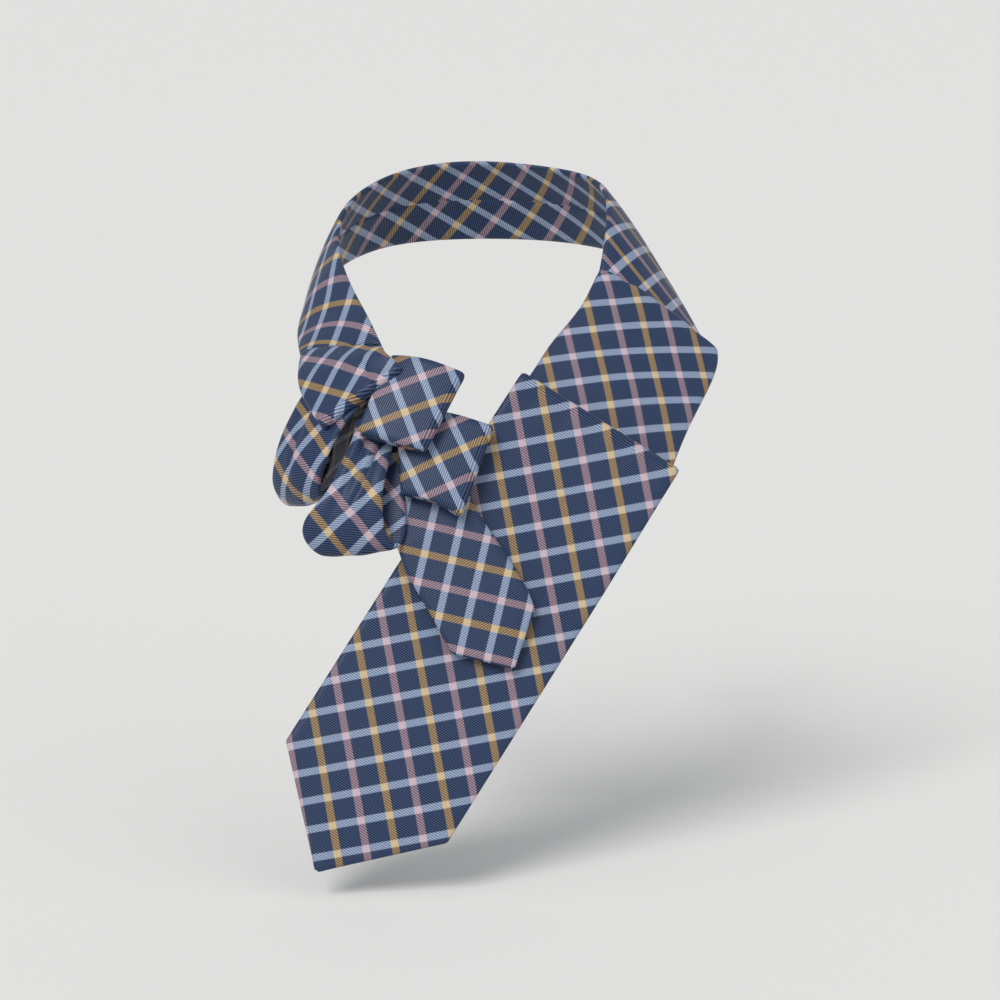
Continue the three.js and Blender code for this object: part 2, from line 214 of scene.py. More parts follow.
def natural_curve(knots, values, at):
    """Piecewise cubics through the values, with equal slope and bend where they meet and no bend
    at the two ends. Beyond the ends it goes on in a straight line."""
    count = len(knots)
    gap = np.diff(knots)
    inner = np.arange(1, count - 1)
    matrix = np.zeros((count, count))
    matrix[0, 0] = matrix[-1, -1] = 1
    matrix[inner, inner - 1] = gap[inner - 1]
    matrix[inner, inner] = 2 * (gap[inner - 1] + gap[inner])
    matrix[inner, inner + 1] = gap[inner]
    rise = np.diff(values, axis=0) / gap[:, None]
    right = np.zeros_like(values)
    right[inner] = 6 * (rise[inner] - rise[inner - 1])
    bend = np.linalg.solve(matrix, right)
    held = np.clip(at, knots[0], knots[-1])
    k = np.clip(np.searchsorted(knots, held, side="right") - 1, 0, count - 2)
    along, g = (held - knots[k])[:, None], gap[k][:, None]
    slope = rise[k] - g * (2 * bend[k] + bend[k + 1]) / 6
    change = (bend[k + 1] - bend[k]) / (6 * g)
    point = values[k] + slope * along + bend[k] / 2 * along**2 + change * along**3
    tangent = slope + bend[k] * along + 3 * change * along**2
    return point + tangent * (at - held)[:, None]


def straight_curve(knots, values, at):
    """Straight lines through the values, which go on beyond the two ends."""
    k = np.clip(np.searchsorted(knots, at, side="right") - 1, 0, len(knots) - 2)
    share = ((at - knots[k]) / (knots[k + 1] - knots[k]))[:, None]
    return values[k] * (1 - share) + values[k + 1] * share


def layered_path(run, step, near=None, far=None):
    """The route of a strip in its own side view: distance along and height. It runs straight from
    0 to run. near and far are (radius, back): a half ellipse at the near end or a half circle at
    the far end, and a flat layer behind that goes back that far."""
    parts = []
    if near:
        radius, back = near
        along = np.linspace(back, 0, max(int(back / step), 2) + 1)
        parts.append(np.stack([along, np.full_like(along, -2 * radius)], 1))
        turn = np.radians(np.linspace(-90, 90, 15)[1:-1])
        parts.append(np.stack([-1.5 * radius * np.cos(turn), radius * (np.sin(turn) - 1)], 1))
    along = np.linspace(0, run, int(run / step) + 1)
    parts.append(np.stack([along, 0 * along], 1))
    if far:
        radius, back = far
        turn = np.radians(np.linspace(90, -90, 21)[1:-1])
        parts.append(np.stack([run + radius * np.cos(turn), radius * (np.sin(turn) - 1)], 1))
        along = np.linspace(0, back, max(int(back / step), 2) + 1)
        parts.append(np.stack([run - along, np.full_like(along, -2 * radius)], 1))
    return np.concatenate(parts)


# The back seam of a folded strip, as shares of the thickness and widths in metres: a groove in the
# middle, with one side standing a little higher than the other.
SEAM_DEPTH, SEAM_REACH = 0.42, 0.9 * MM
SEAM_STEP, SEAM_LIP = 0.16, 0.7 * MM
UNMOVED = (0, 0, 0, 0)


def ring_layout(columns, corner=5):
    """One round of a flat strip's section: for each point its place across the flat (-1 to 1), and
    the cosine and sine that carry it round the soft edge. It starts at the first edge and crosses
    the face first."""
    flat = np.linspace(-1, 1, columns)
    turn = np.radians(np.linspace(0, 90, corner + 1)[:-1])
    left = np.stack([-np.ones(corner), -np.cos(turn), np.sin(turn)], 1)
    top = np.stack([flat, 0 * flat, np.ones(columns)], 1)
    right = np.stack([np.ones(corner), np.cos(turn[::-1]), np.sin(turn[::-1])], 1)
    face = np.concatenate([left, top, right])
    under = face[::-1][1:-1] * np.array([1, 1, -1])
    return np.concatenate([face, under])


def ripple(d, x, reach, seed):
    """Gentle unevenness of pressed cloth: six crossed waves of different lengths, from -1 to 1."""
    random = np.random.default_rng(seed)
    total = np.zeros(np.broadcast(d, x).shape)
    for _ in range(6):
        angle, start = random.uniform(0, 2 * np.pi, 2)
        wave = reach * random.uniform(0.7, 1.8)
        total += np.sin(2 * np.pi * (d * np.cos(angle) + x * np.sin(angle)) / wave + start)
    return total / 6


def crown(u):
    """A parabola over the share across: nothing at both edges and one in the middle."""
    return 4 * u * (1 - u)


class Strip:
    """A length of tie. rows are pairs of edge points with the first edge on the right when the
    neck is up. swell gives how far the middle surface stands out at (distance, share across)."""

    def __init__(self, rows, swell=None, bent=True):
        self.rows = np.array(rows, float).reshape(len(rows), 6)
        middle = (self.rows[:, :3] + self.rows[:, 3:]) / 2
        gaps = np.linalg.norm(np.diff(middle, axis=0), axis=1)
        self.knots = np.concatenate([[0], np.cumsum(gaps)])
        self.swell = swell or (lambda d, u: 0 * u)
        self.curve = natural_curve if bent else straight_curve

    @property
    def run(self):
        """The length of the middle line, straight from row to row."""
        return self.knots[-1]

    def edges(self, d):
        """The points of the two edges at those distances along."""
        both = self.curve(self.knots, self.rows, d)
        return both[:, :3], both[:, 3:]

    def middle(self, d, u, lift):
        """Points between the two edges, moved along the normal by the lift and the swell."""
        tiny = 1e-4
        first, second = self.edges(d)
        before, after = self.edges(d - tiny), self.edges(d + tiny)
        u = u[:, :, None]
        flat = first[:, None] * (1 - u) + second[:, None] * u
        forward = (after[0] - before[0])[:, None] * (1 - u) + (after[1] - before[1])[:, None] * u
        sideways = np.broadcast_to((second - first)[:, None], forward.shape)
        normal = unit(np.cross(sideways, forward))
        stand = lift[:, None] + self.swell(d[:, None], u[:, :, 0])
        return flat + normal * stand[:, :, None]

    def laid_flat(self, d):
        """The strip unrolled into a plane: each row keeps its width and its distances to the next
        row. Returns each row's middle and direction across. The plane's second axis is along."""
        first, second = self.edges(d)
        across = unit(second - first)
        width = np.linalg.norm(second - first, axis=1)
        across_mid = unit(across[1:] + across[:-1])
        moves = []
        for edge in (first, second):
            step = np.diff(edge, axis=0)
            along_row = np.einsum("ij,ij->i", step, across_mid)
            forward = np.linalg.norm(step - across_mid * along_row[:, None], axis=1)
            moves.append((along_row, forward))
        turn = (moves[1][1] - moves[0][1]) / ((width[1:] + width[:-1]) / 2)
        angle = np.concatenate([[0], np.cumsum(turn)])
        half_way = (angle[1:] + angle[:-1]) / 2
        across_flat = np.stack([np.cos(half_way), np.sin(half_way)], 1)
        along_flat = np.stack([-np.sin(half_way), np.cos(half_way)], 1)
        step = across_flat * moves[0][0][:, None] + along_flat * moves[0][1][:, None]
        edge = np.concatenate([[[0, 0]], np.cumsum(step, 0)])
        direction = np.stack([np.cos(angle), np.sin(angle)], 1)
        edge = edge - edge[0] - direction[:1] * width[0] / 2
        return edge + direction * width[:, None] / 2, direction

    def build(
        self, path, half, edge_round, columns, laid=UNMOVED, unroll=True, blunt=1.6 * MM, seam=True
    ):
        """Carries the section along the path. half is half the thickness, and blunt is the length
        over which an end thins. laid is how the cloth lies on the strip: moved across, moved along,
        turned in degrees, and slanted across for each metre along, as cloth cut on the bias gives
        way. Returns points, faces and cloth coordinates."""
        d, lift = path[:, 0], path[:, 1]
        steps = np.linalg.norm(np.diff(path, axis=0), axis=1)
        gone = np.concatenate([[0], np.cumsum(steps)])
        layout = ring_layout(columns)
        count = len(layout)
        first, second = self.edges(d)
        width = np.linalg.norm(second - first, axis=1)[:, None]
        rounding = np.minimum(edge_round, 0.45 * width)
        x = layout[:, 0] * (width / 2 - rounding) + layout[:, 1] * rounding
        end = np.minimum(gone, gone[-1] - gone)[:, None]
        taper = np.sqrt(np.clip(1 - (1 - np.clip(end / blunt, 0.06, 1)) ** 2, 0, 1))
        height = half * taper * layout[:, 2]
        if seam:
            groove = 1 - SEAM_DEPTH * np.exp(-((x / SEAM_REACH) ** 2))
            groove = groove + SEAM_STEP * np.tanh(x / SEAM_LIP)
            height = np.where(layout[:, 2] < -0.99, height * groove, height)
        share = x / width + 0.5
        tiny = 1e-3
        surface = self.middle(d, share, lift)
        across_way = self.middle(d, share + tiny, lift) - self.middle(d, share - tiny, lift)
        along_way = np.gradient(surface, axis=0)
        normal = unit(np.cross(across_way, along_way))
        points = surface + normal * height[:, :, None]

        outline = np.stack([x, height], 2)
        closed = np.concatenate([outline, outline[:, :1]], 1)
        step = np.linalg.norm(np.diff(closed, axis=1), axis=2)
        turned = np.concatenate([np.zeros((len(d), 1)), np.cumsum(step, 1)], 1)
        whole = turned[:, -1:]
        face_middle = count // 4
        turned = turned - turned[:, face_middle : face_middle + 1]
        front_start = gone[np.argmax((np.abs(lift) < 1e-9) & (np.abs(d) < 1e-9))]
        if unroll:
            row_middle, row_way = self.laid_flat(gone - front_start)
        else:
            row_middle = np.stack([0 * gone, gone - front_start], 1)
            row_way = np.tile([1.0, 0.0], (len(d), 1))
        row_middle = row_middle - row_middle[np.argmin(np.abs(gone - front_start))]

        row, column = np.meshgrid(np.arange(len(d) - 1), np.arange(count), indexing="ij")
        after = (column + 1) % count
        here, following = row * count, (row + 1) * count
        corner_ids = [here + column, here + after, following + after, following + column]
        faces = np.stack(corner_ids, 2).reshape(-1, 4)
        wrap = np.where(column >= count // 2 + face_middle, -1.0, 0.0)
        corners = []
        for r, c in ((row, column), (row, column + 1), (row + 1, column + 1), (row + 1, column)):
            sideways = turned[r, c] + wrap * whole[r, 0]
            corners.append(row_middle[r] + row_way[r] * sideways[:, :, None])
        cloth = np.stack(corners, 2).reshape(-1, 4, 2)

        j = np.arange(0, count // 2)
        for ring, turned_round in ((0, False), (len(d) - 1, True)):
            cap = np.stack([j, (count - j) % count, (count - j - 1) % count, j + 1], 1)
            cap = cap + ring * count
            sideways = turned[ring, np.stack([j, j, j + 1, j + 1], 1)]
            coordinate = row_middle[ring] + row_way[ring] * sideways[:, :, None]
            if turned_round:
                cap, coordinate = cap[:, ::-1], coordinate[:, ::-1]
            faces = np.concatenate([faces, cap])
            cloth = np.concatenate([cloth, coordinate])
        angle = np.radians(laid[2])
        spin = np.array([[np.cos(angle), np.sin(angle)], [-np.sin(angle), np.cos(angle)]])
        slant = np.array([[1, 0], [laid[3], 1]])
        return points.reshape(-1, 3), faces, cloth @ spin @ slant + np.array(laid[:2])


def clean_faces(faces, cloth):
    """Quads whose corners repeat become triangles."""
    kept_faces, kept_cloth = [], []
    for face, coordinate in zip(faces.tolist(), cloth.tolist()):
        chosen = [i for i in range(4) if face[i] not in face[:i]]
        kept_faces.append([face[i] for i in chosen])
        kept_cloth.extend(coordinate[i] for i in chosen)
    return kept_faces, np.array(kept_cloth)


def facing_out(points, faces):
    """Whether the faces enclose a positive volume, by the sum of the tetrahedra to the centre."""
    quads = [f for f in faces if len(f) == 4]
    volume = 0
    for chosen, order in ((faces, (0, 1, 2)), (quads, (0, 2, 3))):
        a, b, c = (points[[f[i] for f in chosen]] - points.mean(0) for i in order)
        volume += np.einsum("ij,ij->i", a, np.cross(b, c)).sum()
    return volume > 0


def make_piece(name, points, faces, cloth, material):
    """One mesh object with smooth faces, a cloth UV map in metres and one material."""
    faces, cloth = clean_faces(faces, cloth)
    if not facing_out(points, faces):
        sizes = np.cumsum([0] + [len(f) for f in faces])
        cloth = np.concatenate([cloth[a:b][::-1] for a, b in zip(sizes[:-1], sizes[1:])])
        faces = [f[::-1] for f in faces]
    mesh = bpy.data.meshes.new(name)
    mesh.from_pydata(points.tolist(), [], faces)
    layer = mesh.uv_layers.new(name="cloth")
    layer.data.foreach_set("uv", cloth.astype(np.float32).ravel())
    mesh.shade_smooth()
    mesh.materials.append(material)
    mesh.update()
    piece = bpy.data.objects.new(name, mesh)
    bpy.context.scene.collection.objects.link(piece)
    return piece


# ---------------------------------------------------------------- materials


class Graph:
    """Short ways to add and join shader nodes."""

    def __init__(self, tree):
        self.tree = tree

    def add(self, kind, **values):
        node = self.tree.nodes.new(kind)
        for key, value in values.items():
            setattr(node, key, value)
        return node

    def feed(self, socket, value):
        if isinstance(value, bpy.types.NodeSocket):
            self.tree.links.new(value, socket)
        else:
            socket.default_value = value

    def math(self, operation, *values, clamp=False):
        node = self.add("ShaderNodeMath", operation=operation, use_clamp=clamp)
        for socket, value in zip(node.inputs, values):
            self.feed(socket, value)
        return node.outputs[0]

    def mix(self, share, first, second):
        node = self.add("ShaderNodeMix", data_type="RGBA")
        for index, value in ((0, share), (6, first), (7, second)):
            self.feed(node.inputs[index], value)
        return node.outputs[2]

    def soft_step(self, value, low, high):
        node = self.add("ShaderNodeMapRange", interpolation_type="SMOOTHSTEP")
        for socket, given in zip(node.inputs, (value, low, high)):
            self.feed(socket, given)
        return node.outputs[0]

    def noise(self, vector, scale, detail=2.0):
        node = self.add("ShaderNodeTexNoise")
        self.feed(node.inputs["Vector"], vector)
        node.inputs["Scale"].default_value = scale
        node.inputs["Detail"].default_value = detail
        return node.outputs["Fac"]


def new_group(name, inputs, outputs):
    """A shader node group with those sockets, each a name and a type. Returns the group, its graph,
    what it is given and what it puts out."""
    group = bpy.data.node_groups.new(name, "ShaderNodeTree")
    for way, sockets in (("INPUT", inputs), ("OUTPUT", outputs)):
        for label, kind in sockets:
            group.interface.new_socket(label, in_out=way, socket_type="NodeSocket" + kind)
    g = Graph(group)
    return group, g, g.add("NodeGroupInput").outputs, g.add("NodeGroupOutput").inputs


def new_material(name):
    """A node material of that name, with its graph and its Principled shader."""
    material = bpy.data.materials.new(name)
    material.use_nodes = True
    return material, Graph(material.node_tree), material.node_tree.nodes["Principled BSDF"]


def add_bump(g, shader, height, distance):
    """Feeds a relief of that height to the shader's Normal."""
    bump = g.add("ShaderNodeBump")
    bump.inputs["Strength"].default_value = 0.5
    bump.inputs["Distance"].default_value = distance
    g.feed(bump.inputs["Height"], height)
    g.feed(shader.inputs["Normal"], bump.outputs[0])


def weave_group():
    """A twill check on the bias. With s along the tie and t across it, light stripes lie where
    (s - t) / root 2 is near a whole number of cells, and gold and pink stripes take turns where
    (s + t) / root 2 is. Ribs follow whole numbers of ribs in s."""
    group = bpy.data.node_groups.get("bias_check")
    if group:
        return group
    inputs = [("Vector", "Vector"), ("Cell", "Float"), ("Stripe", "Float"), ("Rib", "Float")]
    inputs += [(name, "Color") for name in TONES]
    outputs = [("Color", "Color"), ("Height", "Float"), ("Sheen Mask", "Float")]
    group, g, given, result = new_group("bias_check", inputs, outputs)
    parts = g.add("ShaderNodeSeparateXYZ")
    g.feed(parts.inputs[0], given["Vector"])
    t, s = parts.outputs[0], parts.outputs[1]

    # The ribs drift by up to a quarter of their spacing. The floats cross them at a slant.
    drift = g.math("MULTIPLY", g.math("SUBTRACT", g.noise(given["Vector"], 90.0), 0.5), 0.5)
    turns = g.math("ADD", g.math("DIVIDE", s, given["Rib"]), drift)
    wave = g.math("SINE", g.math("MULTIPLY", turns, 2 * np.pi))
    rib = g.math("MULTIPLY_ADD", wave, 0.5, 0.5)
    slanted = g.math("DIVIDE", g.math("ADD", t, g.math("MULTIPLY", s, 0.5)), given["Rib"])
    floats = g.math("SINE", g.math("MULTIPLY", slanted, 2 * np.pi))

    # The stripes' sides step from rib to rib.
    jog = g.math("MULTIPLY", wave, g.math("MULTIPLY", given["Rib"], 0.16))
    root = 2**-0.5
    light_way = g.math("ADD", g.math("MULTIPLY", g.math("SUBTRACT", s, t), root), jog)
    colour_way = g.math("ADD", g.math("MULTIPLY", g.math("ADD", s, t), root), jog)

    def stripes(way):
        cells = g.math("DIVIDE", way, given["Cell"])
        off = g.math("ABSOLUTE", g.math("SUBTRACT", g.math("FRACT", cells), 0.5))
        off = g.math("MULTIPLY", off, given["Cell"])
        edge = g.math("MULTIPLY", given["Stripe"], 0.5)
        soft = g.math("MULTIPLY", given["Rib"], 0.14)
        mask = g.soft_step(off, g.math("ADD", edge, soft), g.math("SUBTRACT", edge, soft))
        return mask, cells

    light, _ = stripes(light_way)
    coloured, cells = stripes(colour_way)
    halves = g.math("MULTIPLY", g.math("FLOOR", cells), 0.5)
    pink_turn = g.math("GREATER_THAN", g.math("FRACT", halves), 0.25)

    def ribbed(dark, bright):
        return g.mix(rib, dark, bright)

    ground = ribbed(given["ground_dark"], given["ground_bright"])
    pale = ribbed(given["light_dark"], given["light_bright"])
    warm_dark = g.mix(pink_turn, given["gold_dark"], given["pink_dark"])
    warm_bright = g.mix(pink_turn, given["gold_bright"], given["pink_bright"])
    warm = ribbed(warm_dark, warm_bright)
    cross_bright = g.mix(pink_turn, given["gold_cross"], given["pink_cross"])
    between = g.math("MULTIPLY", g.math("SUBTRACT", 1.0, rib), 0.22)
    cross = g.mix(between, cross_bright, warm_bright)
    plain = g.mix(coloured, ground, warm)
    crossed = g.mix(coloured, pale, cross)
    woven = g.mix(light, plain, crossed)

    speckle = g.noise(given["Vector"], 1400.0, 3.0)
    tone = g.math("MULTIPLY_ADD", speckle, 0.28, 0.86)
    tinted = g.add("ShaderNodeMix", data_type="RGBA", blend_type="MULTIPLY")
    tinted.inputs[0].default_value = 1.0
    g.feed(tinted.inputs[6], woven)
    grey = g.add("ShaderNodeCombineColor")
    for socket in grey.inputs:
        g.feed(socket, tone)
    g.feed(tinted.inputs[7], grey.outputs[0])
    g.feed(result["Color"], tinted.outputs[2])

    thread = g.math("MULTIPLY_ADD", floats, 0.18, g.math("MULTIPLY", rib, 0.8))
    striped = g.math("MULTIPLY", g.math("MAXIMUM", light, coloured), 0.25)
    g.feed(result["Height"], g.math("ADD", thread, striped))
    dull = g.math("MULTIPLY_ADD", speckle, 0.1, 0.42)
    g.feed(result["Sheen Mask"], g.math("MULTIPLY_ADD", rib, -0.12, dull))
    return group


def silk_material(settings):
    """The check silk, read from the cloth UV map."""
    material = bpy.data.materials.get("woven_tie_silk")
    if material:
        return material
    material, g, shader = new_material("woven_tie_silk")
    coordinates = g.add("ShaderNodeUVMap", uv_map="cloth")
    woven = g.add("ShaderNodeGroup", node_tree=weave_group())
    g.feed(woven.inputs["Vector"], coordinates.outputs[0])
    for name in ("Cell", "Stripe", "Rib"):
        woven.inputs[name].default_value = getattr(settings, name.lower())
    for name in TONES:
        woven.inputs[name].default_value = (*getattr(settings, name), 1)
    g.feed(shader.inputs["Base Color"], woven.outputs["Color"])
    g.feed(shader.inputs["Roughness"], woven.outputs["Sheen Mask"])
    add_bump(g, shader, woven.outputs["Height"], 0.12 * MM)
    shader.inputs["Specular IOR Level"].default_value = 0.25
    shader.inputs["Sheen Weight"].default_value = 0.06
    shader.inputs["Sheen Roughness"].default_value = 0.4
    return material


def plain_weave_group():
    """Two crossed sets of threads under fuzz. With f the frequency in radians for each metre, the
    weave is a half plus half of sin(f x) sin(f z), and the amount is half weave and half fuzz."""
    group = bpy.data.node_groups.get("plain_weave")
    if group:
        return group
    inputs = [("Vector", "Vector"), ("Frequency", "Float")]
    outputs = [("Amount", "Float"), ("Fuzz", "Float")]
    group, g, given, result = new_group("plain_weave", inputs, outputs)
    parts = g.add("ShaderNodeSeparateXYZ")
    g.feed(parts.inputs[0], given["Vector"])
    weft = g.math("SINE", g.math("MULTIPLY", parts.outputs[0], given["Frequency"]))
    warp = g.math("SINE", g.math("MULTIPLY", parts.outputs[2], given["Frequency"]))
    weave = g.math("MULTIPLY_ADD", g.math("MULTIPLY", weft, warp), 0.5, 0.5)
    fuzz = g.noise(given["Vector"], 900.0, 3.0)
    g.feed(result["Amount"], g.math("MULTIPLY_ADD", weave, 0.5, g.math("MULTIPLY", fuzz, 0.5)))
    g.feed(result["Fuzz"], fuzz)
    return group


def plain_cloth_material(name, tone, thread, roughness, sheen):
    """A plain cloth with its threads in the relief, read from Object coordinates. Its colour is a
    shaded and a lit copy of one tone, mixed by that relief and by random fuzz: painted shade where
    the threads sink and painted light on their tops, with a random tone besides.
    """
    material = bpy.data.materials.get(name)
    if material:
        return material
    material, g, shader = new_material(name)
    woven = g.add("ShaderNodeGroup", node_tree=plain_weave_group())
    g.feed(woven.inputs["Vector"], g.add("ShaderNodeTexCoord").outputs["Object"])
    woven.inputs["Frequency"].default_value = 2 * np.pi / thread
    amount, fuzz = woven.outputs
    base = shade(*tone)
    # Painted shade and painted light: a shaded and a lit copy of the tone, chosen below half by the
    # weave's relief and half by random fuzz.
    dark = tuple(v * 0.62 for v in base)
    bright = tuple(min(v * 1.25, 1) for v in base)
    g.feed(shader.inputs["Base Color"], g.mix(amount, (*dark, 1), (*bright, 1)))
    rough = g.math("MULTIPLY_ADD", fuzz, 0.15, roughness - 0.08)
    g.feed(shader.inputs["Roughness"], rough)
    add_bump(g, shader, amount, thread * 0.2)
    shader.inputs["Sheen Weight"].default_value = sheen
    return material


def metal_material():
    """Nickel plate with cloudy wear in its colour and its gloss."""
    material = bpy.data.materials.get("nickel_plate")
    if material:
        return material
    material, g, shader = new_material("nickel_plate")
    worn = g.noise(g.add("ShaderNodeTexCoord").outputs["Object"], 700.0, 4.0)
    tone = g.mix(worn, (0.42, 0.43, 0.44, 1), (0.68, 0.69, 0.7, 1))
    g.feed(shader.inputs["Base Color"], tone)
    g.feed(shader.inputs["Roughness"], g.math("MULTIPLY_ADD", worn, 0.3, 0.14))
    shader.inputs["Metallic"].default_value = 1.0
    return material


# ---------------------------------------------------------------- the pieces


def silk_piece(context, name, strip, path, nodes, flat, half=HALF, **ways):
    shape = context.scene.scarf_shape
    edge = min(shape.edge_round, 2 * half)
    points, faces, cloth = strip.build(path, half, edge, shape.columns, **ways)
    silk = silk_material(context.scene.scarf_cloth)
    piece = make_piece(name, points, faces, cloth, silk)
    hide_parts(*nodes)
    return piece


# The small folded pieces have their rows closer together, as a share of the grid step.
FINE = 0.7


def with_filling(*names):
    """The CAD nodes of those silk sections and of the interlinings inside them."""
    return [node for name in names for node in (name, name + "_interlining")]



class SCARF_OT_collar_band(Operator):
    """The band round the nape and the fold down the right side of the neck, one length of cloth"""

    bl_idname = "scarf.collar_band"
    bl_label = "Collar band"

    def execute(self, context):
        rows = [
            (around(-24, 1, 15), around(-16, 47, -18)),
            (around(-2, 0, 38), around(2.5, 28, 6)),
            (around(25, 3, 50), around(26, 25, 14)),
            (around(57, 5, 56), around(57, 25, 19)),
            (around(90, 5, 58), around(90, 24, 20)),
            (around(122, 5, 54), around(122, 22, 17)),
            (around(153, 3, 42), around(153, 17, 5)),
            (around(177, 1, 26), around(186, 17, -9)),
            (around(197.5, 0.5, 17), around(194.5, 20, -13.5)),
            (around(213, 2, 7), around(201, 22.5, -17)),
            (around(228, 8, -2), around(207.5, 25.5, -20)),
            (around(240, 17.5, -13), around(212, 28, -22)),
        ]

        def swell(d, u):
            return 2.2 * MM * crown(u) + 0.5 * MM * ripple(d, u * 0.04, 0.045, 11)

        strip = Strip(rows, swell)
        path = layered_path(strip.run, context.scene.scarf_shape.step)
        nodes = with_filling("nape_band", "left_fold")
        flat = (45 * MM, strip.run)
        laid = (1.6 * MM, 0, -10, 0)
        piece = silk_piece(
            context, "collar_band", strip, path, nodes, flat, laid=laid, unroll=False
        )
        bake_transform(piece)
        return {"FINISHED"}


class SCARF_OT_shoulder_fold(Operator):
    """The wide fold over the left shoulder, with its tucked top edge"""

    bl_idname = "scarf.shoulder_fold"
    bl_label = "Shoulder fold"

    def execute(self, context):
        rows = [
            (around(-17, 53, -21), around(-25, 1, 14)),
            (around(-19, 54, -25), around(-38, 1, 2)),
            (around(-24, 54, -33), around(-53, 1, -11)),
            (around(-35, 54, -50), around(-65, 5, -23)),
            (on_blade(-0.071, 0.0385, -0.0095), on_blade(-0.069, -0.0375, -0.0085)),
        ]

        def swell(d, u):
            puff = np.exp(-((d / 0.012) ** 2)) * np.sin(2 * np.pi * 3.5 * u)
            uneven = 0.6 * MM * ripple(d, u * 0.08, 0.06, 21)
            return 3.0 * MM * crown(u) + uneven + 0.4 * MM * puff

        strip = Strip(rows, swell)
        shape = context.scene.scarf_shape
        path = layered_path(strip.run, shape.step, near=(shape.tuck_radius, 12 * MM))
        nodes = with_filling("shoulder_fold")
        flat = (73 * MM, strip.run + 14 * MM)
        laid = (-2.8 * MM, -4.3 * MM, -15, 0.1)
        piece = silk_piece(context, "shoulder_fold_silk", strip, path, nodes, flat, laid=laid)
        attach(piece, "collar")
        return {"FINISHED"}


class SCARF_OT_wide_blade(Operator):
    """The hanging blade from its tucked top to its right-angled point"""

    bl_idname = "scarf.wide_blade"
    bl_label = "Wide blade"

    def execute(self, context):
        width = np.subtract(*extent("wide_blade", BLADE_ACROSS, BLADE_ORIGIN)[::-1])
        top = extent("blade_head", BLADE_DOWN, BLADE_ORIGIN)[0]
        tip = extent("wide_blade", BLADE_DOWN, BLADE_ORIGIN)[1]
        corner = tip - width / 2 + 1.5 * MM
        half = width / 2
        outline = ((top, half - 0.6 * MM), (top + 60 * MM, half), (corner, half), (tip, 1.0 * MM))
        rows = [(on_blade(down, side, 0), on_blade(down, -side, 0)) for down, side in outline]

        def swell(d, u):
            puff = np.exp(-((d / 0.01) ** 2)) * np.sin(2 * np.pi * 5.5 * u)
            uneven = 0.45 * MM * ripple(d, u * 0.08, 0.07, 31)
            return uneven + 0.5 * MM * crown(u) + 0.2 * MM * puff

        strip = Strip(rows, swell, bent=False)
        shape = context.scene.scarf_shape
        path = layered_path(strip.run, shape.step, near=(shape.tuck_radius, 8 * MM))
        nodes = with_filling("blade_head", "wide_blade")
        flat = (width, strip.run + 12 * MM - half / 2)
        laid = (10.9 * MM, 2.8 * MM, 2, 0)
        piece = silk_piece(context, "wide_blade_silk", strip, path, nodes, flat, laid=laid)
        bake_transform(piece)
        return {"FINISHED"}


class SCARF_OT_left_wrap(Operator):
    """The wrap over the end of the fold at the neck's right, turned under over the upper petal"""

    bl_idname = "scarf.left_wrap"
    bl_label = "Left wrap"

    def execute(self, context):
        rows = [
            (around(243.5, 25, -13), around(214.5, 31, -20)),
            (front(-36.2, -17.5, 11.5), front(-74.8, -28, -9)),
            (front(-32.8, -20.5, 13.6), front(-70, -38.5, 0)),
            (front(-30.2, -23.6, 15.4), front(-65.5, -45.5, 7)),
        ]

        def swell(d, u):
            crease = np.exp(-(((u - 0.17 - 5.5 * d) / 0.035) ** 2))
            uneven = 0.4 * MM * ripple(d, u * 0.04, 0.03, 41)
            return 1.5 * MM * crown(u) + uneven - 0.5 * MM * crease

        strip = Strip(rows, swell)
        shape = context.scene.scarf_shape
        near, far = (shape.tuck_radius, 6 * MM), (1.45 * MM, 10 * MM)
        path = layered_path(strip.run, shape.step * FINE, near, far)
        nodes = with_filling("left_wrap")
        flat = (40 * MM, strip.run + 26 * MM)
        laid = (8.6 * MM, 4.5 * MM, -40, 0)
        piece = silk_piece(context, "left_wrap_silk", strip, path, nodes, flat, laid=laid)
        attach(piece, "rosette_side")
        return {"FINISHED"}


class SCARF_OT_petals(Operator):
    """The two flat doubled petals"""

    bl_idname = "scarf.petals"
    bl_label = "Petals"

    def execute(self, context):
        shape = context.scene.scarf_shape
        upper = [
            (front(-34, -17.5, 7.5), front(-48.8, -50, 17)),
            (front(-19.5, -20, 14.5), front(-34, -55, 19.5)),
            (front(-5.6, -25, 15.5), front(-22.4, -58, 20.5)),
        ]
        lower = [
            (front(-32.2, -39.5, 7.5), front(-30, -75, 12.5)),
            (front(-10, -41.5, 10), front(-15, -79, 14.5)),
            (front(5.8, -46, 10.5), front(-6.6, -83.5, 14.5)),
        ]
        pieces = (
            ("petal_upper", upper, "top_petal", 37, (-4.1 * MM, -8.8 * MM, 4, 0), 51),
            ("petal_lower", lower, "rosette_side", 40, (-7.9 * MM, -0.6 * MM, 23, 0), 52),
        )
        for name, rows, body, width, laid, seed in pieces:

            def swell(d, u, seed=seed):
                return 0.8 * MM * crown(u) + 0.35 * MM * ripple(d, u * 0.04, 0.03, seed)

            strip = Strip(rows, swell)
            far = (2 * MM, strip.run - 1 * MM)
            path = layered_path(strip.run, shape.step * FINE, far=far)
            nodes = with_filling(name)
            flat = (width * MM, 2 * strip.run + 4 * MM)
            piece = silk_piece(context, name + "_silk", strip, path, nodes, flat, laid=laid)
            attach(piece, body)
        return {"FINISHED"}


